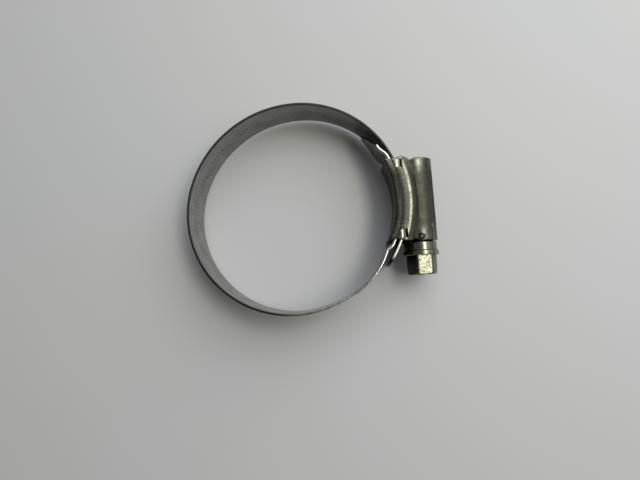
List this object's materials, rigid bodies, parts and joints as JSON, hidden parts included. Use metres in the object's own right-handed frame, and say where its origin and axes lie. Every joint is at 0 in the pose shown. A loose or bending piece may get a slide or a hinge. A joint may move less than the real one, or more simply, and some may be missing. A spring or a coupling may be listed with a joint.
{
  "type": "worm-drive hose clip",
  "caption": "Steel band closed to a loop by a worm screw in a pressed housing; turning the hex screw draws the band's threaded end through and tightens the loop.",
  "frame": {"origin": "middle of the loop's width, on the loop's axis, at the centre of the hose it closes on", "axes": "+Z along the loop's axis (the hose), +X from the loop's centre towards the housing, Y along the screw with the hex towards -Y"},
  "size_m": [0.0644, 0.0548, 0.015],
  "materials": {
    "band_steel": "satin rolled stainless steel",
    "housing_steel": "satin pressed stainless steel",
    "screw_steel": "cold-formed plated steel"
  },
  "bodies": {
    "clip_base": {"housing": "housing_steel", "band_fixed_end": "band_steel"},
    "screw": {"worm_screw": "screw_steel"},
    "link_1": {"band_link_1": "band_steel"},
    "link_2": {"band_link_2": "band_steel"},
    "link_3": {"band_link_3": "band_steel"},
    "link_4": {"band_link_4": "band_steel"},
    "link_5": {"band_link_5": "band_steel"},
    "link_6": {"band_link_6": "band_steel"},
    "link_7": {"band_link_7": "band_steel"},
    "threaded_end": {"band_threaded_end": "band_steel"}
  },
  "joints": [
    {"name": "screw_turn", "type": "hinge", "parent": "clip_base", "child": "screw", "pos_m": [0.0318, 0, 0], "axis": [0, 1, 0], "range_deg": [-360, 2160]},
    {"name": "band_flex_1", "type": "hinge", "parent": "clip_base", "child": "link_1", "pos_m": [0.02167, -0.01515, 0], "axis": [0, 0, -1], "range_deg": [-1.02, 5.86]},
    {"name": "band_flex_2", "type": "hinge", "parent": "link_1", "child": "link_2", "pos_m": [0.00755, -0.02582, 0], "axis": [0, 0, -1], "range_deg": [-0.47, 2.55]},
    {"name": "band_flex_3", "type": "hinge", "parent": "link_2", "child": "link_3", "pos_m": [-0.01027, -0.02574, 0], "axis": [0, 0, -1], "range_deg": [-0.41, 2.18]},
    {"name": "band_flex_4", "type": "hinge", "parent": "link_3", "child": "link_4", "pos_m": [-0.02404, -0.01444, 0], "axis": [0, 0, -1], "range_deg": [-0.67, 3.76]},
    {"name": "band_flex_5", "type": "hinge", "parent": "link_4", "child": "link_5", "pos_m": [-0.02742, 0.00303, 0], "axis": [0, 0, -1], "range_deg": [-0.64, 3.57]},
    {"name": "band_flex_6", "type": "hinge", "parent": "link_5", "child": "link_6", "pos_m": [-0.01896, 0.01875, 0], "axis": [0, 0, -1], "range_deg": [-0.37, 1.95]},
    {"name": "band_flex_7", "type": "hinge", "parent": "link_6", "child": "link_7", "pos_m": [-0.00288, 0.02658, 0], "axis": [0, 0, -1], "range_deg": [-0.48, 2.6]},
    {"name": "band_flex_8", "type": "hinge", "parent": "link_7", "child": "threaded_end", "pos_m": [0.01464, 0.0233, 0], "axis": [0, 0, -1], "range_deg": [-1.09, 6.27]}
  ],
  "couplings": [
    {"joint": "band_flex_1", "follows": "screw_turn", "ratio": 0.002691},
    {"joint": "band_flex_2", "follows": "screw_turn", "ratio": 0.001158},
    {"joint": "band_flex_3", "follows": "screw_turn", "ratio": 0.000987},
    {"joint": "band_flex_4", "follows": "screw_turn", "ratio": 0.001719},
    {"joint": "band_flex_5", "follows": "screw_turn", "ratio": 0.001631},
    {"joint": "band_flex_6", "follows": "screw_turn", "ratio": 0.000881},
    {"joint": "band_flex_7", "follows": "screw_turn", "ratio": 0.001183},
    {"joint": "band_flex_8", "follows": "screw_turn", "ratio": 0.002878}
  ]
}
